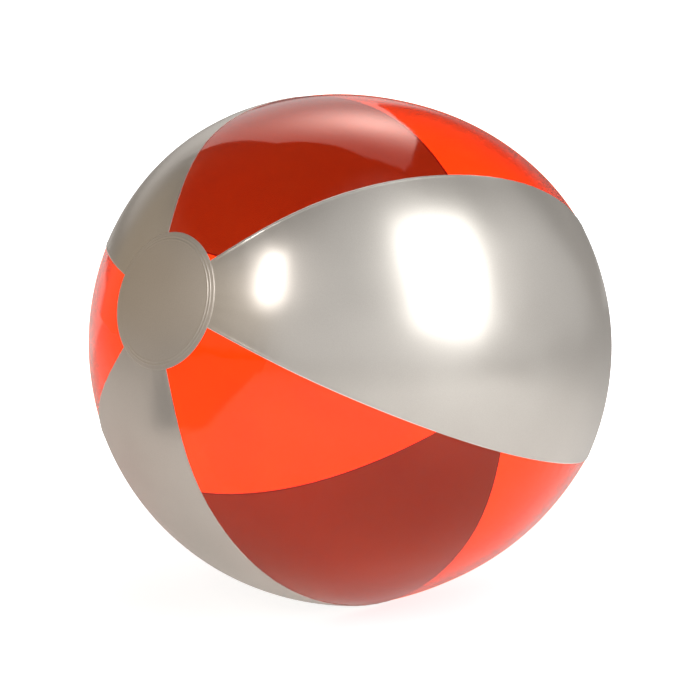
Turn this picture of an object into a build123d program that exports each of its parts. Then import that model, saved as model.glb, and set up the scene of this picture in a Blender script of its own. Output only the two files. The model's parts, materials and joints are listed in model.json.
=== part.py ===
from build123d import *
from math import acos, asin, cos, degrees, radians, sin, sqrt
import os

# Inflatable beach ball, blown up and lying on the ground.  Six film panels run from pole to
# pole, three silver and three orange in turn, and a round disc covers their tips at each pole.
# A push-in valve sits in the right silver panel, towards the rear pole.
# Millimetres.  The origin is the ball's centre, +Z is up, and the front pole faces -Y.

os.makedirs("parts", exist_ok=True)

# ---- the skin --------------------------------------------------------------------------------
BALL_R = 140.0            # outside of the orange film, inside of the silver film
FILM = 0.30               # film thickness
GORE_DEG = 60.0           # width of one panel, as an angle about the polar axis
LAP_DEG = 1.5             # orange film hidden under each silver edge
TIP_R = 24.0              # panels stop this far from the polar axis
DISC_R = 34.0             # pole disc
WELD_RING_RS = (30.0, 31.5)   # raised weld rings on the pole disc
WELD_RING_HALF = 0.28     # half width and height of one weld ring

# ---- how the ball lies -----------------------------------------------------------------------
LEAN_DEG = 15.0           # the polar axis climbs this much towards the front
FIRST_SEAM_DEG = 11.5     # first seam, counter-clockwise from the top as seen from the front
PATCH_R = 18.0            # flat that the ball's weight presses into its underside
PATCH_TRIM_R = 36.0       # disc-shaped cut that takes away the curved film below the flat
PATCH_ROOT = 0.9          # how far the flat film runs on into the curved film round it

# ---- the valve: radii from its own axis, heights from the skin's outer surface ----------------
VALVE_POLAR_DEG = 145.0   # from the front pole
VALVE_HOLE_R = 9.3        # hole in the film
VALVE_HOLE_HALF = 1.2     # half depth of the cut for that hole, more than the film's curve needs
FLANGE_R = 15.0
FLANGE_THICK = 0.8
LIP_OUT_R = 9.2
RECESS_R = 8.2            # inside of the flange, where the valve sinks in
LIP_TOP = 0.35
LIP_EDGE = 0.15
MOUTH_Z = -2.0            # mouth of the stem while the valve is pushed in
STEM_END_Z = -17.0
STEM_R = 4.5
BORE_R = 3.2
RIM_R = 5.2
RIM_H = 1.0
COLLAR_R = 5.0
COLLAR_Z = -7.0
COLLAR_HALF = 0.6
SEAT_R = 2.4              # opening in the inner end, which the flap closes
SEAT_H = 1.0
NECK_TOP_Z = -0.25
NECK_DROP = 1.05          # height of the neck wall where it meets the flange
HEAD_R = 4.9
HEAD_H = 1.4
HEAD_EDGE = 0.25
SHAFT_TOP_R = 3.15
SHAFT_END_R = 2.45
SHAFT_L = 3.0
TAB_REACH = 6.6
TAB_W = 3.0
TAB_H = 0.6
TAB_CORNER_R = 1.0
HINGE_X = 5.8             # the stopper swings about this line
HINGE_UP = 0.3            # height of that line above the mouth
STRAP_MID_R = 0.8
STRAP_THICK = 0.4
STRAP_W = 2.6
FLAP_R = 3.6
FLAP_THICK = 0.5
FLAP_HINGE_X = 4.2
FLAP_TAB_W = 2.4

# ---- directions and planes -------------------------------------------------------------------
lean = radians(LEAN_DEG)
ball = Plane(origin=(0, 0, 0), x_dir=(0, sin(lean), cos(lean)), z_dir=(0, -cos(lean), sin(lean)))
polar_axis = Axis((0, 0, 0), ball.z_dir)


def meridian(azimuth):
    """Section plane through the polar axis: x points away from that axis, y to the front pole."""
    outward = ball.x_dir * cos(radians(azimuth)) + ball.y_dir * sin(radians(azimuth))
    return Plane(origin=(0, 0, 0), x_dir=outward, z_dir=outward.cross(ball.z_dir))


front_section = meridian(0)
rear_section = Plane(origin=(0, 0, 0), x_dir=ball.x_dir, z_dir=ball.y_dir)

seam_1 = FIRST_SEAM_DEG
seam_6 = seam_1 + GORE_DEG
seam_5 = seam_6 + GORE_DEG
seam_4 = seam_5 + GORE_DEG
seam_3 = seam_4 + GORE_DEG
seam_2 = seam_3 + GORE_DEG

valve_turn = radians(seam_3 + GORE_DEG / 2)
valve_polar = radians(VALVE_POLAR_DEG)
valve_side = ball.x_dir * cos(valve_turn) + ball.y_dir * sin(valve_turn)
valve_out = ball.z_dir * cos(valve_polar) + valve_side * sin(valve_polar)
valve_x = ball.z_dir * sin(valve_polar) - valve_side * cos(valve_polar)
valve = Plane(origin=valve_out * (BALL_R + FILM), x_dir=valve_x, z_dir=valve_out)
valve_axis = Axis(valve.origin, valve.z_dir)
valve_section = Plane(origin=valve.origin, x_dir=valve.x_dir, z_dir=-valve.y_dir)

# ---- panel sections --------------------------------------------------------------------------
tip_deg = degrees(acos(TIP_R / BALL_R))

with BuildSketch() as orange_section:
    with BuildLine():
        outside = CenterArc((0, 0), BALL_R, -tip_deg, 2 * tip_deg)
        inside = CenterArc((0, 0), BALL_R - FILM, -tip_deg, 2 * tip_deg)
        Line(outside @ 0, inside @ 0)
        Line(outside @ 1, inside @ 1)
    make_face()

with BuildSketch() as silver_section:
    with BuildLine():
        outside = CenterArc((0, 0), BALL_R + FILM, -tip_deg, 2 * tip_deg)
        inside = CenterArc((0, 0), BALL_R, -tip_deg, 2 * tip_deg)
        Line(outside @ 0, inside @ 0)
        Line(outside @ 1, inside @ 1)
    make_face()

# ---- orange panels: each reaches under the silver panels beside it ----------------------------
ORANGE_DEG = GORE_DEG + 2 * LAP_DEG

with BuildPart() as gore_orange_left:
    with BuildSketch(meridian(seam_6 - LAP_DEG)):
        add(orange_section.sketch)
    revolve(axis=polar_axis, revolution_arc=ORANGE_DEG)
gore_orange_left.part.label = "gore_orange_left"
export_step(gore_orange_left.part, "parts/gore_orange_left.step")

with BuildPart() as gore_orange_lower_right:
    with BuildSketch(meridian(seam_4 - LAP_DEG)):
        add(orange_section.sketch)
    revolve(axis=polar_axis, revolution_arc=ORANGE_DEG)
gore_orange_lower_right.part.label = "gore_orange_lower_right"
export_step(gore_orange_lower_right.part, "parts/gore_orange_lower_right.step")

with BuildPart() as gore_orange_top:
    with BuildSketch(meridian(seam_2 - LAP_DEG)):
        add(orange_section.sketch)
    revolve(axis=polar_axis, revolution_arc=ORANGE_DEG)
gore_orange_top.part.label = "gore_orange_top"
export_step(gore_orange_top.part, "parts/gore_orange_top.step")

# ---- silver panels ---------------------------------------------------------------------------
with BuildPart() as gore_silver_upper_left:
    with BuildSketch(meridian(seam_1)):
        add(silver_section.sketch)
    revolve(axis=polar_axis, revolution_arc=GORE_DEG)
gore_silver_upper_left.part.label = "gore_silver_upper_left"
export_step(gore_silver_upper_left.part, "parts/gore_silver_upper_left.step")

# The lower silver panel is pressed flat where the ball rests on the ground.
patch_in_z = sqrt(BALL_R**2 - PATCH_R**2)
patch_out_z = patch_in_z + FILM
patch_out_r = sqrt((BALL_R + FILM) ** 2 - patch_out_z**2)
patch_root_r = PATCH_R + PATCH_ROOT

with BuildPart() as gore_silver_lower:
    with BuildSketch(meridian(seam_5)):
        add(silver_section.sketch)
    revolve(axis=polar_axis, revolution_arc=GORE_DEG)
    with BuildSketch(Plane.XY.offset(-patch_out_z)):
        Circle(PATCH_TRIM_R)
    extrude(amount=-BALL_R + patch_in_z, mode=Mode.SUBTRACT)
    with BuildSketch(Plane.XZ):
        with BuildLine():
            Polyline(
                (0, -patch_out_z),
                (patch_out_r, -patch_out_z),
                (patch_root_r, -patch_in_z),
                (0, -patch_in_z),
                close=True,
            )
        make_face()
    revolve(axis=Axis.Z)
gore_silver_lower.part.label = "gore_silver_lower"
export_step(gore_silver_lower.part, "parts/gore_silver_lower.step")

# The right silver panel has a round hole for the valve.
with BuildPart() as gore_silver_right:
    with BuildSketch(meridian(seam_3)):
        add(silver_section.sketch)
    revolve(axis=polar_axis, revolution_arc=GORE_DEG)
    with BuildSketch(valve):
        Circle(VALVE_HOLE_R)
    extrude(amount=VALVE_HOLE_HALF, both=True, mode=Mode.SUBTRACT)
gore_silver_right.part.label = "gore_silver_right"
export_step(gore_silver_right.part, "parts/gore_silver_right.step")

# ---- pole discs: each lies on the panel tips and carries two fine weld rings -------------------
disc_deg = degrees(asin(DISC_R / BALL_R))
disc_top_r = BALL_R + 2 * FILM

with BuildSketch() as disc_section:
    with BuildLine():
        outside = CenterArc((0, 0), disc_top_r, 90 - disc_deg, disc_deg)
        inside = CenterArc((0, 0), disc_top_r - FILM, 90 - disc_deg, disc_deg)
        Line(outside @ 0, inside @ 0)
        Line(outside @ 1, inside @ 1)
    make_face()
    with Locations(*[(r, sqrt(disc_top_r**2 - r**2)) for r in WELD_RING_RS]):
        Circle(WELD_RING_HALF)

with BuildPart() as pole_disc_front:
    with BuildSketch(front_section):
        add(disc_section.sketch)
    revolve(axis=polar_axis)
pole_disc_front.part.label = "pole_disc_front"
export_step(pole_disc_front.part, "parts/pole_disc_front.step")

with BuildPart() as pole_disc_rear:
    with BuildSketch(rear_section):
        add(disc_section.sketch)
    revolve(axis=polar_axis)
pole_disc_rear.part.label = "pole_disc_rear"
export_step(pole_disc_rear.part, "parts/pole_disc_rear.step")

# ---- valve flange: a ring under the film, with a lip that stands up through the hole -----------
skin_centre = (0, -BALL_R - FILM)


def under_skin(radius, depth):
    """Height of a sphere that lies this far inside the film, at a radius from the valve axis."""
    return sqrt((BALL_R - depth) ** 2 - radius**2) - BALL_R - FILM


def sphere_deg(radius, depth):
    """Angle from the valve axis at which that sphere has this radius."""
    return degrees(asin(radius / (BALL_R - depth)))


with BuildPart() as valve_flange:
    with BuildSketch(valve_section):
        with BuildLine():
            face_from = 90 - sphere_deg(FLANGE_R, 0)
            face_arc = sphere_deg(FLANGE_R, 0) - sphere_deg(LIP_OUT_R, 0)
            face = CenterArc(skin_centre, BALL_R, face_from, face_arc)
            back_from = 90 - sphere_deg(FLANGE_R, FLANGE_THICK)
            back_arc = sphere_deg(FLANGE_R, FLANGE_THICK) - sphere_deg(RECESS_R, FLANGE_THICK)
            back = CenterArc(skin_centre, BALL_R - FLANGE_THICK, back_from, back_arc)
            Line(face @ 0, back @ 0)
            Polyline(
                face @ 1,
                (LIP_OUT_R, LIP_TOP - LIP_EDGE),
                (LIP_OUT_R - LIP_EDGE, LIP_TOP),
                (RECESS_R + LIP_EDGE, LIP_TOP),
                (RECESS_R, LIP_TOP - LIP_EDGE),
                back @ 1,
            )
        make_face()
    revolve(axis=valve_axis)
valve_flange.part.label = "valve_flange"
export_step(valve_flange.part, "parts/valve_flange.step")

# ---- valve neck: soft cone wall from the flange down to the stem's collar ----------------------
with BuildPart() as valve_neck:
    with BuildSketch(valve_section):
        with BuildLine():
            Polyline(
                (RECESS_R, NECK_TOP_Z),
                (RECESS_R, NECK_TOP_Z - NECK_DROP),
                (COLLAR_R, COLLAR_Z - COLLAR_HALF),
                (COLLAR_R, COLLAR_Z + COLLAR_HALF),
                close=True,
            )
        make_face()
    revolve(axis=valve_axis)
valve_neck.part.label = "valve_neck"
export_step(valve_neck.part, "parts/valve_neck.step")

# ---- valve stem: blow-up tube with a rim, a collar for the neck and a seat for the flap --------
with BuildPart() as valve_stem:
    with BuildSketch(valve_section):
        with BuildLine():
            Polyline(
                (BORE_R, MOUTH_Z),
                (RIM_R, MOUTH_Z),
                (RIM_R, MOUTH_Z - RIM_H),
                (STEM_R, MOUTH_Z - RIM_H),
                (STEM_R, COLLAR_Z + COLLAR_HALF),
                (COLLAR_R, COLLAR_Z + COLLAR_HALF),
                (COLLAR_R, COLLAR_Z - COLLAR_HALF),
                (STEM_R, COLLAR_Z - COLLAR_HALF),
                (STEM_R, STEM_END_Z),
                (SEAT_R, STEM_END_Z),
                (SEAT_R, STEM_END_Z + SEAT_H),
                (BORE_R, STEM_END_Z + SEAT_H),
                close=True,
            )
        make_face()
    revolve(axis=valve_axis)
valve_stem.part.label = "valve_stem"
export_step(valve_stem.part, "parts/valve_stem.step")

# ---- valve plug: a flat head with a finger tab, and a tapered shaft that fills the mouth -------
with BuildPart() as valve_plug:
    with BuildSketch(valve_section):
        with BuildLine():
            Polyline(
                (0, MOUTH_Z + HEAD_H),
                (HEAD_R - HEAD_EDGE, MOUTH_Z + HEAD_H),
                (HEAD_R, MOUTH_Z + HEAD_H - HEAD_EDGE),
                (HEAD_R, MOUTH_Z),
                (SHAFT_TOP_R, MOUTH_Z),
                (SHAFT_END_R, MOUTH_Z - SHAFT_L),
                (0, MOUTH_Z - SHAFT_L),
                close=True,
            )
        make_face()
    revolve(axis=valve_axis)
    with BuildSketch(valve.offset(MOUTH_Z + HEAD_H)):
        with Locations((-TAB_REACH / 2, 0)):
            Rectangle(TAB_REACH, TAB_W)
    extrude(amount=-TAB_H)
    upright_edges = valve_plug.edges().filter_by(valve_axis, tolerance=0.01)
    tab_end = upright_edges.sort_by(Axis(valve.origin, valve.x_dir))[:2]
    fillet(tab_end, TAB_CORNER_R)
valve_plug.part.label = "valve_plug"
export_step(valve_plug.part, "parts/valve_plug.step")

# ---- plug strap: a bendable loop from the stem's rim round to the edge of the head -------------
with BuildPart() as plug_strap:
    with BuildSketch(valve_section):
        with BuildLine():
            bend = CenterArc((HINGE_X, MOUTH_Z + HINGE_UP), STRAP_MID_R, -90, 180)
            Line((RIM_R - STRAP_THICK, MOUTH_Z + HINGE_UP - STRAP_MID_R), bend @ 0)
            Line((HEAD_R - STRAP_THICK, MOUTH_Z + HINGE_UP + STRAP_MID_R), bend @ 1)
            offset(amount=STRAP_THICK / 2, side=Side.BOTH)
        make_face()
    extrude(amount=STRAP_W / 2, both=True)
    with BuildSketch(valve.offset(MOUTH_Z)):
        Circle(RIM_R)
    extrude(amount=-RIM_H, mode=Mode.SUBTRACT)
    with BuildSketch(valve.offset(MOUTH_Z)):
        Circle(HEAD_R)
    extrude(amount=HEAD_H, mode=Mode.SUBTRACT)
plug_strap.part.label = "plug_strap"
export_step(plug_strap.part, "parts/plug_strap.step")

# ---- check flap: a disc against the stem's inner end, rounded where it hinges ------------------
with BuildPart() as check_flap:
    with BuildSketch(valve.offset(STEM_END_Z)):
        Circle(FLAP_R)
        with Locations((FLAP_HINGE_X / 2, 0)):
            Rectangle(FLAP_HINGE_X, FLAP_TAB_W)
    extrude(amount=-FLAP_THICK)
    with BuildSketch(valve_section):
        with Locations((FLAP_HINGE_X, STEM_END_Z - FLAP_THICK / 2)):
            Circle(FLAP_THICK / 2)
    extrude(amount=FLAP_TAB_W / 2, both=True)
check_flap.part.label = "check_flap"
export_step(check_flap.part, "parts/check_flap.step")
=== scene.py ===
import json
import math

import bmesh
import bpy
import numpy as np
from mathutils import Matrix, Vector


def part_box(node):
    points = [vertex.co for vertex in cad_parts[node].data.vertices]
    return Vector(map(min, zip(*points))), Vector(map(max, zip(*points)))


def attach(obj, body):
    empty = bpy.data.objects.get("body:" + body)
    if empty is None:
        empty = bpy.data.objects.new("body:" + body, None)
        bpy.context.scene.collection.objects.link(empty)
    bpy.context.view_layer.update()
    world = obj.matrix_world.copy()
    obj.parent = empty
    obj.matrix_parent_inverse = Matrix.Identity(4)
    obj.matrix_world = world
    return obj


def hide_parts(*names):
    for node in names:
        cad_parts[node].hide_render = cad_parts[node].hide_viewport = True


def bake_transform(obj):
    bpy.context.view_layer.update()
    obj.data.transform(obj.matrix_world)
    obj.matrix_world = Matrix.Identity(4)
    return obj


# An inflatable beach ball of three silver and three see-through orange film panels, in metres.
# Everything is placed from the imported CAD: its origin is the ball's centre and +Z is up.

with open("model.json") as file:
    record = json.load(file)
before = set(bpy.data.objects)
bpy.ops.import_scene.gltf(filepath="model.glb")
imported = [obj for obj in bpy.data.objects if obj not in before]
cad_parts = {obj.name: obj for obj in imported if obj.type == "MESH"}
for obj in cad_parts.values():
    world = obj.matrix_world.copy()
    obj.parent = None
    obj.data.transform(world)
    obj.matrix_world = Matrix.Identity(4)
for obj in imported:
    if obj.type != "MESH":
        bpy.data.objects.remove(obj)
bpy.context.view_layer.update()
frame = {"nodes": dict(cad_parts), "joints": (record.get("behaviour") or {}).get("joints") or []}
rng = np.random.default_rng(11)

# ---- sizes shared with the CAD ---------------------------------------------------------------
R = 0.140  # the weld surface: orange film lies inside it, silver film outside
FILM = 0.0003
LEAN = math.radians(15)
FIRST_SEAM = math.radians(11.5)
GORE = math.radians(60)
TIP_R = 0.024
DISC_R = 0.034
WELD_RINGS = (0.0300, 0.0315)
HOLE_R = 0.0093
FLOOR_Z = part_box("gore_silver_lower")[0].z

# ---- sizes of the drawn film alone -----------------------------------------------------------
LAP = math.radians(0.4)  # orange film under each silver edge, less than the CAD's hidden lap
GAP = 0.00002  # welded films are drawn this far apart, so that they don't share a surface

POLE = np.array([0.0, -math.cos(LEAN), math.sin(LEAN)])
UP = np.array([0.0, math.sin(LEAN), math.cos(LEAN)])
SIDE = np.cross(POLE, UP)

# ---- the blown-up shape ----------------------------------------------------------------------
# Panels and seams are counted from the upper left silver panel, anticlockwise seen from in front:
# silver upper left, orange left, silver lower, orange lower right, silver right, orange top.
# Rises and sags are shares of R. They were fitted to a real ball's outline, and the drifts were
# measured from its seams; some of each were then changed.
POLAR_STRETCH = 1.028
FRONT_LESS, ENDS_LESS = 0.0038, 0.0011  # how much less full the front is, and both ends
SEAM_RISE = np.array([-0.0215, 0.0174, -0.0042, 0.0013, 0.0034, 0.0034])
PANEL_SAG = np.array([-0.0260, 0.0286, -0.0020, 0.0287, 0.0047, 0.0135])
PANEL_SKEW = np.array([0.0, 0.0, 0.0, 0.0, 0.0, 0.5])
# How far, in degrees, each seam wanders from its even place, by angle from the front pole.
DRIFT_AT = np.radians([10, 18, 26, 34, 42, 50, 60, 80, 100, 125, 145, 170])
DRIFT = np.radians(
    [
        [-1.0, -1.0, 2.2, 4.0, 4.6, 4.2, 2.6, -1.5, -3.0, -1.5, 0.0, 0.0],
        [0.5, 0.5, -0.5, -0.5, -0.3, 0.0, 0.0, 0.0, 0.0, 0.0, 0.0, 0.0],
        [5.5, 5.5, 2.4, 0.5, 0.0, 0.0, 0.3, 0.9, 1.3, 1.2, 0.5, 0.0],
        [4.6, 4.6, 1.8, 0.0, -0.7, -1.0, -1.2, -1.4, -0.3, 1.0, 2.2, 0.0],
        [0.6, 0.6, 0.0, -0.2, -0.2, -0.2, -0.2, -0.2, -0.1, -0.3, 0.0, 0.0],
        [-2.2, -2.2, 0.0, 0.6, 0.8, 0.7, 0.5, -0.1, -0.1, 0.0, 0.0, 0.0],
    ]
)
DRIFT_FINE = np.linspace(DRIFT_AT[0], DRIFT_AT[-1], 161)
DRIFT_KERNEL = np.hanning(35) / np.hanning(35).sum()

# Fine waves in the film: how high each kind is, and how long or how far it reaches.
BROAD_HIGH = 0.00008
PUCKER_HIGH, PUCKER_LONG, PUCKER_REACH = 0.00005, 0.0085, 0.006
GATHER_HIGH, GATHER_COUNT, GATHER_REACH = 0.00002, 31, 0.012
GATHER_FROM, GATHER_TO = 0.020, 0.036  # distances from the pole
PUCKER_SWAY, GATHER_SWAY = 2.2, 1.5  # how unevenly they are spaced
SILVER_MOTTLE, ORANGE_MOTTLE = 0.000012, 0.000008
CALM_FROM, CALM_OVER = 0.016, 0.030  # the film is even this near the valve, then less so

joints = {j["name"]: j for j in frame["joints"]}
valve_out = np.array(joints["valve_slide"]["axis"], float)
valve_y = np.array(joints["plug_swing"]["axis"], float)
valve_x = np.cross(valve_y, valve_out)
valve_foot = valve_out * (R + FILM)


def smooth(t):
    t = np.clip(t, 0, 1)
    return t * t * (3 - 2 * t)


def waves(count, length, spread_out=0.35):
    """Directions, wave numbers and phases for a smooth random field of about one wavelength."""
    d = rng.normal(size=(count, 3))
    d /= np.linalg.norm(d, axis=1)[:, None]
    k = 2 * math.pi / (length * (1 + spread_out * rng.uniform(-1, 1, count)))
    return d * k[:, None], rng.uniform(0, 2 * math.pi, count)


def field(p, w):
    k, phase = w
    return np.sin(p @ k.T + phase).sum(-1) / math.sqrt(len(phase) / 2)


BROAD = waves(24, 0.085)
MOTTLE = waves(40, 0.026)
waves(60, 0.009)  # its waves aren't used, but the draw keeps the next ones as they are
SWAY = waves(12, 0.045)


def direction(theta, azimuth):
    """Unit vectors from the ball's centre; theta is from the front pole."""
    s, c = np.sin(theta)[..., None], np.cos(theta)[..., None]
    ca, sa = np.cos(azimuth)[..., None], np.sin(azimuth)[..., None]
    return POLE * c + (UP * ca + SIDE * sa) * s


def near_valve(p):
    """Distance from the valve's axis, or a whole metre on the far side of the ball."""
    along = p @ valve_out
    off = np.linalg.norm(p - along[..., None] * valve_out, axis=-1)
    return np.where(along > 0, off, 1.0)


def seam_distance(theta, share):
    """Distance along the film from the nearer seam, below zero where film runs under a weld."""
    return np.minimum(share, 1 - share) * GORE * np.sin(theta) * R


def pole_distance(theta):
    return R * np.minimum(theta, math.pi - theta)


def wander(theta):
    """Each seam's drift at these angles from the front pole, one row per seam."""
    rows = []
    for row in DRIFT:
        padded = np.pad(np.interp(DRIFT_FINE, DRIFT_AT, row), len(DRIFT_KERNEL) // 2, mode="edge")
        rows.append(np.interp(theta, DRIFT_FINE, np.convolve(padded, DRIFT_KERNEL, "valid")))
    return np.array(rows)


def blown_radius(theta, share, panel, after):
    """Distance of the blown film from the centre, before its fine waves."""
    round_axis = np.sin(theta) ** 2
    across = 2 * share - 1
    ease = share * share * (3 - 2 * share)
    rise = SEAM_RISE[panel] * (1 - ease) + SEAM_RISE[after] * ease
    bow = (1 - across * across) * (1 + PANEL_SKEW[panel] * across)
    wide = 1 + round_axis * (rise - PANEL_SAG[panel] * bow)
    radius = R * np.hypot(wide * np.sin(theta), POLAR_STRETCH * np.cos(theta))
    less = FRONT_LESS * np.cos(theta) + ENDS_LESS * np.cos(theta) ** 2
    return radius - R * round_axis * less


def fine_waves(p, theta, azimuth, share):
    """Puckers along the seams, gathers round the poles and a broad unevenness."""
    sway = field(p, SWAY)
    from_pole = pole_distance(theta)
    pucker = np.sin(2 * math.pi * R * theta / PUCKER_LONG + PUCKER_SWAY * sway)
    pucker = pucker * np.exp(-seam_distance(theta, share) / PUCKER_REACH)
    pucker = pucker * smooth((from_pole - DISC_R) / 0.010)
    gather = smooth((from_pole - GATHER_FROM) / GATHER_REACH)
    gather = gather * np.exp(-np.maximum(from_pole - GATHER_TO, 0) / GATHER_REACH)
    gather = gather * np.sin(GATHER_COUNT * azimuth + GATHER_SWAY * sway)
    return PUCKER_HIGH * pucker + GATHER_HIGH * gather + BROAD_HIGH * field(p, BROAD)


def skin(theta, turn):
    """Points of the weld surface and their directions; turn counts panels from the first seam."""
    first = np.floor(turn + 1e-9).astype(int)
    share = turn - first
    panel, after = first % 6, (first + 1) % 6
    seams = wander(theta)
    here = np.take_along_axis(seams, panel[None], 0)[0]
    there = np.take_along_axis(seams, after[None], 0)[0]
    azimuth = FIRST_SEAM + GORE * turn + here * (1 - share) + there * share
    u = direction(theta, azimuth)
    radius = blown_radius(theta, share, panel, after) + fine_waves(u * R, theta, azimuth, share)
    calm = smooth((near_valve(u * R) - CALM_FROM) / CALM_OVER)
    radius = R + (radius - R) * calm
    return u * radius[..., None], u


def on_floor(p, height):
    """Flattens points against the ground, this far above it."""
    p = p.copy()
    p[..., 2] = np.maximum(p[..., 2], FLOOR_Z + height)
    return p


# ---- mesh building ---------------------------------------------------------------------------
def grid_faces(rows, cols, start, flip, wrap=False):
    """Four-sided faces between the points of a grid, whose first point is number start."""
    i, j = np.meshgrid(np.arange(rows - 1), np.arange(cols if wrap else cols - 1), indexing="ij")
    a = start + i * cols + j
    b = start + i * cols + (j + 1) % cols
    c = start + (i + 1) * cols + (j + 1) % cols
    d = start + (i + 1) * cols + j
    quads = np.stack([a, b, c, d] if flip else [a, d, c, b], -1)
    return quads.reshape(-1, 4)


def make_mesh(name, verts, faces, materials, indices=None, attributes=None, sharp=35):
    """A smooth-shaded object, with sharp edges where faces meet at over `sharp` degrees."""
    mesh = bpy.data.meshes.new(name)
    mesh.from_pydata(verts.tolist(), [], [tuple(int(v) for v in f) for f in faces])
    for m in materials:
        mesh.materials.append(m)
    if indices is not None:
        mesh.polygons.foreach_set("material_index", np.asarray(indices, np.int32))
    for key, values in (attributes or {}).items():
        att = mesh.attributes.new(key, "FLOAT", "POINT")
        att.data.foreach_set("value", np.asarray(values, np.float32))
    mesh.polygons.foreach_set("use_smooth", np.ones(len(mesh.polygons), bool))
    mesh.validate()
    mesh.update()
    mesh.set_sharp_from_angle(angle=math.radians(sharp))
    obj = bpy.data.objects.new(name, mesh)
    bpy.context.scene.collection.objects.link(obj)
    return obj


def turn_outwards(mesh, close_ends=False):
    """Faces a closed mesh outwards; close_ends first fills its open ends."""
    bm = bmesh.new()
    bm.from_mesh(mesh)
    if close_ends:
        bmesh.ops.holes_fill(bm, edges=[e for e in bm.edges if e.is_boundary], sides=0)
    bmesh.ops.recalc_face_normals(bm, faces=bm.faces)
    bm.to_mesh(mesh)
    bm.free()


def film_piece(name, outer, inner, seam, materials):
    """A closed film from two grids of points: the outside, the inside and the walls between."""
    rows, cols = outer.shape[:2]
    n = rows * cols
    verts = np.concatenate([outer.reshape(-1, 3), inner.reshape(-1, 3)])
    out = grid_faces(rows, cols, 0, False)
    ins = grid_faces(rows, cols, n, True)
    walls = []
    ring = (
        [(0, j) for j in range(cols)]
        + [(i, cols - 1) for i in range(1, rows)]
        + [(rows - 1, j) for j in range(cols - 2, -1, -1)]
        + [(i, 0) for i in range(rows - 2, 0, -1)]
    )
    for (i0, j0), (i1, j1) in zip(ring, ring[1:] + ring[:1]):
        a, b = i0 * cols + j0, i1 * cols + j1
        walls.append((a, b, b + n, a + n))
    faces = np.concatenate([out, ins, np.array(walls)])
    index = np.concatenate([np.zeros(len(out)), np.ones(len(ins)), np.zeros(len(walls))])
    seam_mm = np.concatenate([seam.ravel(), seam.ravel()]) * 1000
    return make_mesh(name, verts, faces, materials, index, {"seam_mm": seam_mm})


def ring_mesh(name, profile, steps, materials, closed=True):
    """Turns a profile of (radius, height) points about the valve's axis."""
    profile = np.asarray(profile, float)
    a = np.linspace(0, 2 * math.pi, steps, endpoint=False)
    around = np.cos(a)[:, None] * valve_x + np.sin(a)[:, None] * valve_y
    verts = (
        valve_foot
        + around[None] * profile[:, 0][:, None, None]
        + valve_out * profile[:, 1][:, None, None]
    )
    verts = np.concatenate([verts, verts[:1]]) if closed else verts
    rows = len(verts)
    faces = grid_faces(rows, steps, 0, False, wrap=True)
    flat = verts.reshape(-1, 3)
    if closed:
        last = (rows - 1) * steps
        faces = np.where(faces >= last, faces - last, faces)
        flat = flat[:last]
    return make_mesh(name, flat, faces, materials)


def spread(n_mid, edge, n_edge):
    """0 to 1, with extra steps within `edge` of either end."""
    a = np.linspace(0, edge, n_edge, endpoint=False)
    m = np.linspace(edge, 1 - edge, n_mid)
    return np.concatenate([a, m, 1 - a[::-1]])


# ---- materials -------------------------------------------------------------------------------
class Nodes:
    """A node tree with short calls: put() makes a node and fills or links its inputs."""

    def __init__(self, owner):
        self.owner = owner
        owner.use_nodes = True
        self.tree = owner.node_tree
        self.tree.nodes.clear()

    def put(self, kind, inputs=(), **settings):
        node = self.tree.nodes.new(kind)
        for key, value in settings.items():
            setattr(node, key, value)
        for key, value in dict(inputs).items():
            if isinstance(value, bpy.types.NodeSocket):
                self.tree.links.new(value, node.inputs[key])
            else:
                node.inputs[key].default_value = value
        return node

    def between(self, value, low, high, out_low, out_high, kind="LINEAR"):
        """Maps low..high to out_low..out_high and holds it there."""
        node = self.put(
            "ShaderNodeMapRange",
            {0: value, 1: low, 2: high, 3: out_low, 4: out_high},
            interpolation_type=kind,
        )
        return node.outputs[0]

    def ease(self, value, low, high, out_low, out_high):
        """The same with a soft start and end."""
        return self.between(value, low, high, out_low, out_high, "SMOOTHSTEP")

    def sums(self, kind, a, b):
        return self.put("ShaderNodeMath", {0: a, 1: b}, operation=kind).outputs[0]

    def times(self, a, b):
        return self.sums("MULTIPLY", a, b)

    def blend(self, factor, a, b):
        return self.put("ShaderNodeMix", {0: factor, 6: a, 7: b}, data_type="RGBA").outputs[2]

    def mix(self, factor, a, b):
        """Two shaders mixed."""
        return self.put("ShaderNodeMixShader", {0: factor, 1: a, 2: b}).outputs[0]

    def finish(self, shader, kind="ShaderNodeOutputMaterial"):
        out = self.put(kind)
        self.tree.links.new(shader, out.inputs["Surface"])
        return self.owner


class MaterialNodes(Nodes):
    """A new material's nodes, with textures laid out in metres."""

    def __init__(self, name):
        super().__init__(bpy.data.materials.new(name))
        self.place = self.put("ShaderNodeTexCoord").outputs["Object"]

    def noise(self, scale, detail):
        inputs = {"Vector": self.place, "Scale": scale, "Detail": detail}
        return self.put("ShaderNodeTexNoise", inputs).outputs["Fac"]

    def bump(self, height, distance):
        return self.put("ShaderNodeBump", {"Height": height, "Distance": distance}).outputs["Normal"]

    def facing(self, inputs=()):
        """0 where a surface is seen head on, 1 at a grazing angle."""
        return self.put("ShaderNodeLayerWeight", {"Blend": 0.5, **dict(inputs)}).outputs["Facing"]

    def attribute(self, name):
        return self.put("ShaderNodeAttribute", attribute_name=name).outputs["Fac"]


def rgb(r, g, b):
    return (r, g, b, 1.0)


METAL, EDGE_METAL = 0.84, 0.2
EDGE_MM = (0.25, 0.75)  # the pale weld edge, unprinted margin and painted highlight together, fades out between these distances from the seam
WIDE_LOBE, WIDE_LOBE_SHARE = 0.25, 0.46  # a second, rougher reflection and its share
PVC_IOR = 1.52


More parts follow.
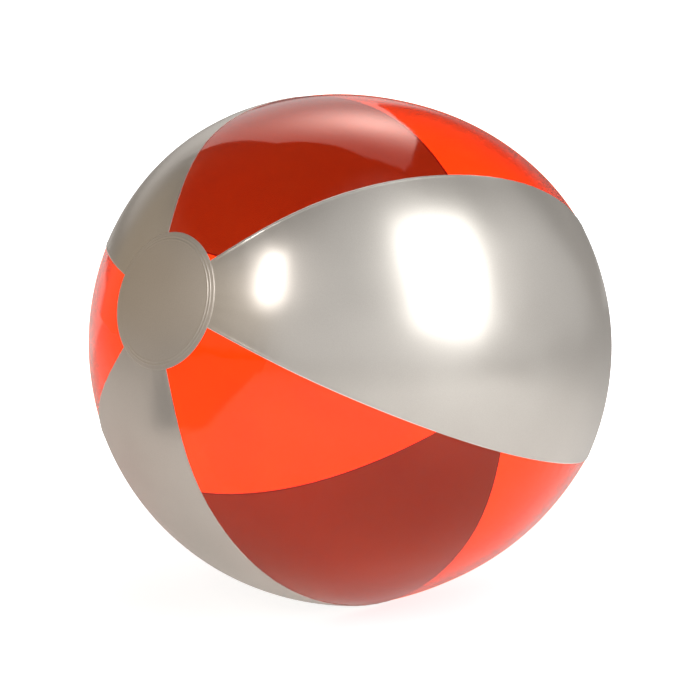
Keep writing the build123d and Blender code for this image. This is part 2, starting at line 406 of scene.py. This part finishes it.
def silver_film(name, low, high, rough, edge=True):
    """Metallic printed film under a clear face, with a pale weld edge: partly its unprinted margin,
    partly a painted highlight of the seam.
    """
    n = MaterialNodes(name)
    cloud = n.noise(26, 1)
    grain = n.noise(2600, 1)
    colour = n.blend(n.ease(cloud, 0.2, 0.8, 0, 1), rgb(*low), rgb(*high))
    flake = n.between(grain, 0.2, 0.8, 0.95, 1.05)
    colour = n.put("ShaderNodeVectorMath", {0: colour, 1: flake}, operation="MULTIPLY").outputs[0]
    metal = METAL
    if edge:
        # pale weld edge: the film's unprinted margin, with a painted highlight where the seam
        # catches light
        margin_and_glint = n.times(
            n.ease(n.attribute("seam_mm"), *EDGE_MM, 1, 0),
            n.ease(n.noise(22, 2), 0.42, 0.62, 0.1, 0.8),
        )
        colour = n.blend(margin_and_glint, colour, rgb(0.90, 0.80, 0.72))
        metal = n.between(margin_and_glint, 0, 1, METAL, EDGE_METAL)
    soft = n.bump(n.noise(45, 1), 0.000010)
    lobes = []
    for wider in (0.0, WIDE_LOBE):
        roughness = n.ease(cloud, 0.2, 0.8, rough + wider - 0.015, rough + wider + 0.035)
        lobe = n.put(
            "ShaderNodeBsdfPrincipled",
            {"Base Color": colour, "Metallic": metal, "Roughness": roughness, "Normal": soft},
        )
        lobes.append(lobe.outputs[0])
    return n.finish(n.mix(WIDE_LOBE_SHARE, *lobes))


def silver_back(name):
    """The unprinted inside of the silver film, duller; its pale green-white colour is painted light,
    for white light leaking through the film.
    """
    n = MaterialNodes(name)
    cloud = n.noise(40, 3)
    shader = n.put(
        "ShaderNodeBsdfPrincipled",
        {
            # painted light: this pale green-white stands in for white light leaking through the
            # silver film
            "Base Color": n.blend(cloud, rgb(0.76, 0.95, 0.92), rgb(0.82, 1.0, 0.97)),
            "Metallic": 0.55,
            "Roughness": n.between(cloud, 0.3, 0.7, 0.42, 0.52),
            "Normal": n.bump(n.noise(120, 2), 0.00004),
        },
    )
    return n.finish(shader.outputs[0])


SLANT_CLEARS = 0.18  # how much less a slanting ray is tinted than the film's law would have it
MILK_AT_EDGE = 0.30
MIRROR_MOST = (0.12, 0.48)  # the most that a face mirrors: leaving the film, and entering it


def orange_film(name, tint, haze):
    """Clear dyed film. Each face passes the root of the film's tint and mirrors a little."""
    n = MaterialNodes(name)
    cloud = n.noise(30, 2)
    facing = n.facing()
    path = n.sums("SUBTRACT", 1.0, n.times(facing, SLANT_CLEARS))
    uneven = n.between(cloud, 0.3, 0.7, 0.97, 1.03)
    root = rgb(*[math.sqrt(c) for c in tint])
    passed = n.put("ShaderNodeGamma", {"Color": root, "Gamma": n.times(path, uneven)}).outputs[0]
    clear = n.put("ShaderNodeBsdfTransparent", {"Color": passed}).outputs[0]
    dull = n.put("ShaderNodeBsdfTranslucent", {"Color": rgb(1.0, 0.22, 0.04)}).outputs[0]
    entering = n.sums("SUBTRACT", 1.0, n.put("ShaderNodeNewGeometry").outputs["Backfacing"])
    milk = n.between(n.sums("POWER", facing, 2.0), 0, 1, 2 * haze, 2 * haze + MILK_AT_EDGE)
    body = n.mix(n.times(milk, entering), clear, dull)
    ripple = n.bump(n.noise(90, 1), 0.000003)
    roughness = n.between(cloud, 0.3, 0.7, 0.05, 0.09)
    mirror = n.put(
        "ShaderNodeBsdfGlossy", {"Color": rgb(1, 1, 1), "Roughness": roughness, "Normal": ripple}
    ).outputs[0]
    head_on = ((PVC_IOR - 1) / (PVC_IOR + 1)) ** 2
    share = n.between(n.sums("POWER", n.facing({"Normal": ripple}), 5.0), 0, 1, head_on, 1)
    share = n.sums("MINIMUM", share, n.between(entering, 0, 1, *MIRROR_MOST))
    return n.finish(n.mix(share, body, mirror))


def soft_pvc(name, low, high, rough):
    """Milky moulded PVC for the valve."""
    n = MaterialNodes(name)
    cloud = n.noise(260, 3)
    shader = n.put(
        "ShaderNodeBsdfPrincipled",
        {
            "Base Color": n.blend(n.between(cloud, 0.3, 0.7, 0, 1), rgb(*low), rgb(*high)),
            "Roughness": n.between(cloud, 0.3, 0.7, rough - 0.05, rough + 0.08),
            "Subsurface Weight": 0.25,
            "Subsurface Radius": (0.9, 0.8, 0.7),
            "Subsurface Scale": 0.002,
            "Normal": n.bump(n.noise(1500, 2), 0.00002),
            "IOR": PVC_IOR,
        },
    )
    return n.finish(shader.outputs[0])


SILVER = silver_film("silver_film", (0.70, 0.645, 0.585), (0.74, 0.685, 0.625), 0.235)
DISC = silver_film("disc_film", (0.70, 0.635, 0.565), (0.73, 0.665, 0.595), 0.33, edge=False)
BACK = silver_back("silver_back")
ORANGE = orange_film("orange_film", (0.92, 0.160, 0.030), 0.03)
PVC = soft_pvc("valve_pvc", (0.80, 0.79, 0.76), (0.86, 0.85, 0.82), 0.34)
PVC_SOFT = soft_pvc("valve_pvc_thin", (0.84, 0.83, 0.80), (0.90, 0.89, 0.86), 0.28)

# ---- panels ----------------------------------------------------------------------------------
TIP = math.asin(TIP_R / R)
THETA_STEPS = np.linspace(TIP, math.pi - TIP, 236)
SHARE_STEPS = 66  # across a panel, besides the extra ones near its seams
BEAD_AT, BEAD_WIDE, BEAD_HIGH = 0.0008, 0.00045, 0.00009
VALVE_WELD_RS = (0.0122, 0.0142)
VALVE_WELD_WIDE, VALVE_WELD_HIGH = 0.0004, 0.00022
VALVE_CALM_R = 0.0155  # the film is an exact sphere out to here, apart from those welds


def valve_welds(ring):
    """Height of the two weld rings round the valve, by distance from its axis."""
    rises = [np.exp(-(((ring - r) / VALVE_WELD_WIDE) ** 2)) for r in VALVE_WELD_RS]
    return VALVE_WELD_HIGH * sum(rises)


def silver_panel(name, first):
    steps = spread(SHARE_STEPS, 0.024, 9)
    theta, share = np.meshgrid(THETA_STEPS, steps, indexing="ij")
    base, u = skin(theta, first + share)
    seam = seam_distance(theta, share)
    bead = BEAD_HIGH * np.exp(-(((seam - BEAD_AT) / BEAD_WIDE) ** 2))
    bead = bead * smooth((pole_distance(theta) - DISC_R) / 0.002)
    ring = near_valve(base)
    mottle = SILVER_MOTTLE * field(base, MOTTLE) * smooth((ring - CALM_FROM) / 0.02)
    outer = base + u * (FILM + bead + valve_welds(ring) + mottle)[..., None]
    inner = base + u * mottle[..., None]
    return film_piece(name, on_floor(outer, 0), on_floor(inner, FILM), seam, [SILVER, BACK])


def orange_panel(name, first):
    lap = LAP / GORE
    steps = spread(SHARE_STEPS, 0.03, 7) * (1 + 2 * lap) - lap
    theta, share = np.meshgrid(THETA_STEPS, steps, indexing="ij")
    base, u = skin(theta, first + share)
    seam = seam_distance(theta, share)
    mottle = ORANGE_MOTTLE * field(base, MOTTLE) * smooth(seam / 0.006)
    outer = base + u * (mottle - GAP)[..., None]
    inner = base + u * (mottle - FILM)[..., None]
    return film_piece(name, on_floor(outer, 0), on_floor(inner, FILM), seam, [ORANGE, ORANGE])


silver_names = ("gore_silver_upper_left", "gore_silver_lower", "gore_silver_right")
orange_names = ("gore_orange_left", "gore_orange_lower_right", "gore_orange_top")
skins = {}
for number, name in enumerate(silver_names):
    skins[name] = silver_panel(name.replace("gore", "skin"), 2 * number)
for number, name in enumerate(orange_names):
    skins[name] = orange_panel(name.replace("gore", "skin"), 2 * number + 1)


def refine_near_valve(mesh):
    """Adds detail to the film round the valve and sets it on its exact height."""
    bm = bmesh.new()
    bm.from_mesh(mesh)
    ring = near_valve(np.array([v.co for v in bm.verts]))
    near = [e for e in bm.edges if max(ring[v.index] for v in e.verts) < VALVE_CALM_R]
    bmesh.ops.subdivide_edges(bm, edges=near, cuts=3, use_grid_fill=True)
    points = np.array([v.co for v in bm.verts])
    ring = near_valve(points)
    for v, r, length in zip(bm.verts, ring, np.linalg.norm(points, axis=1)):
        if r < VALVE_CALM_R:
            v.co *= (R + FILM + valve_welds(r) if length > R + FILM / 2 else R) / length
    bm.to_mesh(mesh)
    bm.free()


def open_valve_hole(panel):
    """Cuts the valve's round hole through a panel."""
    refine_near_valve(panel.data)
    cutter = ring_mesh("cutter", [(HOLE_R, -0.004), (HOLE_R, 0.004)], 96, [PVC], closed=False)
    turn_outwards(cutter.data, close_ends=True)
    cut = panel.modifiers.new("valve_hole", "BOOLEAN")
    cut.operation = "DIFFERENCE"
    cut.solver = "EXACT"
    cut.object = cutter
    bpy.context.view_layer.update()
    graph = bpy.context.evaluated_depsgraph_get()
    opened = bpy.data.meshes.new_from_object(panel.evaluated_get(graph))
    opened.set_sharp_from_angle(angle=math.radians(35))
    panel.modifiers.clear()
    panel.data = opened
    bpy.data.objects.remove(cutter)


open_valve_hole(skins["gore_silver_right"])

# ---- pole discs ------------------------------------------------------------------------------
DISC_WELD_WIDE, DISC_WELD_HIGH = 0.00030, 0.00014
DISC_EDGE_WIDE, DISC_EDGE_DROP = 0.0007, 0.00012
DISC_PLAIN_STEPS = np.linspace(0.0008, 0.0285, 26)
DISC_FINE_STEPS = np.linspace(0.0288, DISC_R, 34)  # across the weld rings and the edge


def pole_disc(name, rear):
    """A round patch on the film, with two weld rings and a centre point on each side."""
    r = np.concatenate([DISC_PLAIN_STEPS, DISC_FINE_STEPS])
    a = np.linspace(0, 2 * math.pi, 192, endpoint=False)
    arc, turn = np.meshgrid(r / R, a / GORE, indexing="ij")
    base, u = skin(math.pi - arc if rear else arc, turn)
    out = arc * R
    high = sum(np.exp(-(((out - ring) / DISC_WELD_WIDE) ** 2)) for ring in WELD_RINGS)
    edge = smooth((out - DISC_R + DISC_EDGE_WIDE) / DISC_EDGE_WIDE)
    top = 2 * FILM + GAP + DISC_WELD_HIGH * high - DISC_EDGE_DROP * edge
    outer = base + u * top[..., None]
    inner = base + u * (FILM + GAP)
    rows, cols = out.shape
    n = rows * cols
    centres = [outer[0].mean(0), inner[0].mean(0)]
    verts = np.concatenate([outer.reshape(-1, 3), inner.reshape(-1, 3), centres])
    j = np.arange(cols)
    k = (j + 1) % cols
    last = (rows - 1) * cols
    wall = np.stack([last + j, last + n + j, last + n + k, last + k], -1)
    faces = [
        grid_faces(rows, cols, 0, rear, wrap=True),
        grid_faces(rows, cols, n, not rear, wrap=True),
        wall if rear else wall[:, ::-1],
    ]
    caps = []
    for x, y in zip(j, k):
        caps.append((2 * n, x, y) if rear else (2 * n, y, x))
        caps.append((2 * n + 1, n + y, n + x) if rear else (2 * n + 1, n + x, n + y))
    faces = [tuple(f) for f in np.concatenate(faces)] + caps
    return make_mesh(name, verts, faces, [DISC], sharp=50)


discs = {
    "pole_disc_front": pole_disc("disc_front", False),
    "pole_disc_rear": pole_disc("disc_rear", True),
}

# ---- the valve's soft parts ------------------------------------------------------------------
NECK_OUT_R, NECK_IN_R = 0.0082, 0.0050
NECK_TOP, NECK_END, NECK_HALF_THICK = -0.0009, -0.0070, 0.00045
NECK_WAIST = 0.0005
STRAP_BEND_R, STRAP_HALF_THICK, STRAP_HALF_WIDE = 0.0008, 0.0002, 0.0013
STRAP_CROWN = 1.12  # the strap's middle is this much thicker than its edges
CROWN_SHARE = 0.7
hinge = np.array(joints["plug_swing"]["pos_m"], float)


def neck_wall():
    """A thin wall from the flange down to the stem, pulled in a little half way."""
    t = np.linspace(0, 1, 22)
    radius = NECK_OUT_R + (NECK_IN_R - NECK_OUT_R) * t - NECK_WAIST * np.sin(math.pi * t)
    height = NECK_TOP + (NECK_END - NECK_TOP) * t
    upper = np.stack([radius, height + NECK_HALF_THICK], -1)
    lower = np.stack([radius, height - NECK_HALF_THICK], -1)
    return ring_mesh("valve_neck_wall", np.concatenate([lower, upper[::-1]]), 72, [PVC_SOFT])


def plug_strap():
    """A flat band that leaves the stem, turns half round the hinge and joins the plug."""
    path = [(-0.0010, -STRAP_BEND_R, 0, -1), (-0.0005, -STRAP_BEND_R, 0, -1)]
    for angle in np.linspace(-90, 90, 19):
        c, s = math.cos(math.radians(angle)), math.sin(math.radians(angle))
        path.append((STRAP_BEND_R * c, STRAP_BEND_R * s, c, s))
    path += [(-0.0005, STRAP_BEND_R, 0, 1), (-0.0011, STRAP_BEND_R, 0, 1)]
    across = [(-1, 1), (-CROWN_SHARE, STRAP_CROWN), (CROWN_SHARE, STRAP_CROWN), (1, 1)]
    section = []
    for x, z, nx, nz in path:
        for side, row in ((1, across), (-1, across[::-1])):
            for y, thick in row:
                out = side * STRAP_HALF_THICK * thick
                section.append((x + nx * out, STRAP_HALF_WIDE * y, z + nz * out))
    section = np.array(section)
    verts = hinge + section @ np.array([valve_x, valve_y, valve_out])
    faces = [tuple(f) for f in grid_faces(len(path), 8, 0, True, wrap=True)]
    faces += [tuple(range(7, -1, -1)), tuple(range((len(path) - 1) * 8, len(path) * 8))]
    strap = make_mesh("plug_strap_web", verts, faces, [PVC_SOFT], sharp=60)
    turn_outwards(strap.data)
    return strap


neck = neck_wall()
strap = plug_strap()

# ---- who rides on what -----------------------------------------------------------------------
for name, obj in {**skins, **discs}.items():
    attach(obj, "ball")
    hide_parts(name)


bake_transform(neck)
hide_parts("valve_neck")
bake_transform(strap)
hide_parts("plug_strap")
for name in ("valve_flange", "valve_stem", "valve_plug", "check_flap"):
    for material_slot in frame["nodes"][name].material_slots:
        material_slot.material = PVC

# ---- floor -----------------------------------------------------------------------------------
FLOOR_HALF = 6.0
FLOOR_DROP = 0.00002
CORNER = (-0.054, -0.340)  # where the pale table top ends, as the ball mirrors it
TABLE_EDGES = ((CORNER, (-0.974, -0.225)), (CORNER, (-0.414, -0.910)), ((0, 0), (0.788, -0.616)))
TABLE_EDGE_SOFT = 0.012
DARK = rgb(0.06, 0.06, 0.06)
PAPER_GLOW = (2.0, 3.0)  # how bright the camera sees white: straight, and through a film


def floor_material():
    """Pale paper; the camera sees it glow white, the ball mirrors a table top that ends."""
    n = MaterialNodes("floor")
    speck = n.noise(900, 2)
    colour = n.blend(n.between(speck, 0.3, 0.7, 0, 1), rgb(0.84, 0.84, 0.84), rgb(0.88, 0.88, 0.88))
    x, y, _ = n.put("ShaderNodeSeparateXYZ", {0: n.place}).outputs
    # painted warm light: the paper is tinted warm towards the left, for the warmer light on that
    # side
    colour = n.blend(n.between(x, -0.15, 0.05, 1, 0), colour, rgb(0.86, 0.79, 0.74))
    off_table = 1.0
    for (at_x, at_y), (nx, ny) in TABLE_EDGES:
        along = n.sums("ADD", n.times(x, nx), n.times(y, ny))
        edge = at_x * nx + at_y * ny
        past = n.between(along, edge - TABLE_EDGE_SOFT, edge + TABLE_EDGE_SOFT, 0, 1)
        off_table = n.times(past, off_table)
    far = n.times(n.between(y, 0.3, 0.8, 0, 0.6), n.between(x, -1.2, -0.7, 0, 1))
    colour = n.blend(off_table, n.blend(far, colour, DARK), DARK)
    paper = n.put("ShaderNodeBsdfDiffuse", {"Color": colour}).outputs[0]
    rays = n.put("ShaderNodeLightPath").outputs
    through = rays["Transparent Depth"]
    power = n.between(through, 0, 1, *PAPER_GLOW)
    glow = n.put("ShaderNodeEmission", {"Color": rgb(1, 1, 1), "Strength": power}).outputs[0]
    away = n.put("ShaderNodeVectorMath", {0: n.place}, operation="LENGTH").outputs["Value"]
    open_floor = n.ease(away, 0.15, 0.55, 0.40, 0.95)
    seen = n.sums("MAXIMUM", open_floor, n.between(through, 0, 1, 0, 0.95))
    # For rays that are not the camera's the paper also glows, a little everywhere and more under the
    # ball and in a patch to the back left: painted light, filling the shadow under the ball in
    # reflections and seen through the film.
    painted_glow_back_left = n.times(n.between(x, -1.1, -0.6, 0.20, 0), n.between(y, 0.10, 0.22, 0, 1))
    unseen = n.sums("ADD", n.ease(away, 0.06, 0.26, 0.18, 0.08), painted_glow_back_left)
    share = n.put("ShaderNodeMix", {0: rays["Is Camera Ray"], 2: unseen, 3: seen}).outputs[0]
    return n.finish(n.mix(share, paper, glow))


corners = [(-1, -1), (1, -1), (1, 1), (-1, 1)]
floor_verts = np.array([(FLOOR_HALF * x, FLOOR_HALF * y, FLOOR_Z - FLOOR_DROP) for x, y in corners])
floor = make_mesh("floor", floor_verts, [(0, 1, 2, 3)], [floor_material()])


# ---- studio light ----------------------------------------------------------------------------
def towards(azimuth, elevation):
    """Unit vector from the ball: azimuth in degrees from the front, round to the right."""
    a, e = math.radians(azimuth), math.radians(elevation)
    return Vector((math.sin(a) * math.cos(e), -math.cos(a) * math.cos(e), math.sin(e)))


def softbox(name, azimuth, elevation, distance, width, height, radiance, colour, roll, soft):
    """A rectangular light that faces the ball; radiance is how bright its face looks."""
    data = bpy.data.lights.new(name, "AREA")
    data.shape = "RECTANGLE"
    data.size = width
    data.size_y = height
    data.energy = radiance * math.pi * width * height
    data.color = colour
    n = Nodes(data)
    across = n.put("ShaderNodeNewGeometry").outputs["Parametric"]
    centred = n.put(
        "ShaderNodeVectorMath", {0: across, 1: (2, 2, 0), 2: (-1, -1, 0)}, operation="MULTIPLY_ADD"
    ).outputs[0]
    sides = n.put("ShaderNodeSeparateXYZ", {0: centred}).outputs
    fades = []
    for side in ("X", "Y"):
        off = n.put("ShaderNodeMath", {0: sides[side]}, operation="ABSOLUTE").outputs[0]
        fades.append(n.ease(off, 1 - soft, 1, 1, 0))
    face = n.put("ShaderNodeEmission", {"Color": rgb(1, 1, 1), "Strength": n.times(*fades)})
    n.finish(face.outputs[0], "ShaderNodeOutputLight")
    lamp = bpy.data.objects.new(name, data)
    away = towards(azimuth, elevation)
    lamp.location = away * distance
    roll_turn = Matrix.Rotation(math.radians(roll), 3, "Z")
    lamp.rotation_euler = (away.to_track_quat("Z", "Y").to_matrix() @ roll_turn).to_euler()
    lamp.visible_camera = False
    bpy.context.scene.collection.objects.link(lamp)


softbox("key", 91, 32.5, 1.2, 0.84, 1.26, 4.4, (0.955, 0.985, 1.0), roll=-12, soft=0.5)
softbox("strip", 8.5, 33, 1.5, 0.28, 0.62, 7.4, (1.0, 0.99, 0.99), roll=10, soft=0.3)

# The overhead panel is uneven: a bright patch near one side, fading outwards.
CANOPY_OUTLINE = (
    (0.62, -0.75), (0.36, 0.22), (0.025, 0.51), (-0.166, 0.75), (-0.584, 0.957),
    (-0.515, 0.177), (-0.373, -0.168), (-0.291, -0.575), (-0.300, -0.75),
)
CANOPY_AWAY = 1.4
PATCH_PLACE = (0.29, -0.10, 0)  # moves the bright patch to the centre
PATCH_TURN = math.radians(16)
PATCH_HALF_LONG, PATCH_HALF_WIDE = 0.38, 0.26
PATCH_POWER, PATCH_FALL, CANOPY_POWER = 4.4, 1.7, 0.75


def canopy_material():
    n = MaterialNodes("canopy_light")
    spot = n.put("ShaderNodeMapping", {0: n.place, 1: PATCH_PLACE}).outputs[0]
    spot = n.put("ShaderNodeMapping", {0: spot, 2: (0, 0, PATCH_TURN)}).outputs[0]
    size = (1 / PATCH_HALF_LONG, 1 / PATCH_HALF_WIDE, 0)
    spot = n.put("ShaderNodeVectorMath", {0: spot, 1: size}, operation="MULTIPLY").outputs[0]
    reach = n.put("ShaderNodeVectorMath", {0: spot}, operation="LENGTH").outputs["Value"]
    fall = n.sums("POWER", math.exp(-1), n.sums("POWER", reach, PATCH_FALL))
    power = n.sums("ADD", CANOPY_POWER, n.times(fall, PATCH_POWER))
    back = n.put("ShaderNodeNewGeometry").outputs["Backfacing"]
    glow = n.put("ShaderNodeEmission", {"Color": rgb(1, 0.98, 0.96), "Strength": power}).outputs[0]
    nothing = n.put("ShaderNodeBsdfTransparent").outputs[0]
    return n.finish(n.mix(back, nothing, glow))


canopy_verts = np.array([(x, y, 0.0) for x, y in CANOPY_OUTLINE])
canopy = make_mesh("canopy", canopy_verts, [tuple(range(len(CANOPY_OUTLINE)))], [canopy_material()])
overhead = towards(-130, 56)
canopy.location = overhead * CANOPY_AWAY
canopy.rotation_euler = overhead.to_track_quat("Z", "Y").to_euler()
canopy.visible_camera = False


def studio_world():
    """The room as the ball mirrors it, and plain white for the camera.

    The room is dim in front and dark up high; pale walls stand on the right and low down behind.
    """
    n = Nodes(bpy.data.worlds.new("studio"))
    look = n.put("ShaderNodeTexCoord").outputs["Generated"]
    x, y, z = n.put("ShaderNodeSeparateXYZ", {0: look}).outputs
    dim = rgb(0.08, 0.075, 0.07)

    behind = n.ease(y, 0.02, 0.30, 0, 1)
    high = n.ease(z, 0.55, 0.75, 0, 1)
    wall = n.blend(n.ease(z, 0.12, 0.45, 0, 1), rgb(0.64, 0.65, 0.66), rgb(0.40, 0.408, 0.415))
    wall = n.blend(behind, wall, rgb(0.46, 0.465, 0.47))
    wall = n.blend(n.times(behind, high), wall, rgb(0.10, 0.10, 0.10))

    room = n.blend(n.ease(z, 0.48, 0.64, 1, 0), dim, rgb(0.38, 0.32, 0.24))
    room = n.blend(behind, room, dim)
    near_ground = n.ease(z, 0.22, 0.40, 1, 0)
    room = n.blend(n.times(behind, near_ground), room, rgb(0.22, 0.21, 0.20))
    room = n.blend(n.ease(x, 0.02, 0.30, 0, 1), room, wall)

    # A pale backdrop beyond the ball, under the canopy, with a dark band low down.
    towards_it = n.put(
        "ShaderNodeVectorMath", {0: look, 1: (-0.777, 0.629, 0.0)}, operation="DOT_PRODUCT"
    ).outputs["Value"]
    backdrop = n.times(n.ease(towards_it, 0.84, 0.88, 0, 1), n.ease(z, 0.50, 0.66, 1, 0))
    dark_band = n.times(n.ease(z, 0.03, 0.07, 0, 1), n.ease(z, 0.16, 0.22, 1, 0))
    backdrop = n.times(backdrop, n.ease(dark_band, 0, 1, 1, 0))
    backdrop = n.times(backdrop, n.ease(x, -0.62, -0.52, 1, 0))
    room = n.blend(backdrop, room, rgb(0.70, 0.69, 0.68))

    # A dark gap in front, at the foot of the room.
    gap_height = n.times(n.ease(y, -0.86, -0.70, 1, 0), n.ease(z, 0.00, 0.08, 1, 0))
    gap_width = n.times(n.ease(x, -0.66, -0.56, 0, 1), n.ease(x, 0.18, 0.28, 1, 0))
    room = n.blend(n.times(gap_height, gap_width), room, rgb(0.06, 0.055, 0.05))

    unseen = n.put("ShaderNodeBackground", {"Color": room, "Strength": 1.0}).outputs[0]
    rays = n.put("ShaderNodeLightPath").outputs
    power = n.between(rays["Transparent Depth"], 0, 1, *PAPER_GLOW)
    seen = n.put("ShaderNodeBackground", {"Color": rgb(1, 1, 1), "Strength": power}).outputs[0]
    return n.finish(n.mix(rays["Is Camera Ray"], unseen, seen), "ShaderNodeOutputWorld")


bpy.context.scene.world = studio_world()

# ---- camera ----------------------------------------------------------------------------------
CAMERA_AZIMUTH, CAMERA_ELEVATION, CAMERA_AWAY = 42.58, 7.78, 1.0935
camera_data = bpy.data.cameras.new("camera")
camera_data.sensor_width = 36
camera_data.lens = 103.07
camera_data.shift_y = -0.0054
camera = bpy.data.objects.new("camera", camera_data)
view = towards(CAMERA_AZIMUTH, CAMERA_ELEVATION)
camera.location = view * CAMERA_AWAY
camera.rotation_euler = view.to_track_quat("Z", "Y").to_euler()
bpy.context.scene.collection.objects.link(camera)
bpy.context.scene.camera = camera
bpy.context.scene.view_settings.view_transform = "Standard"
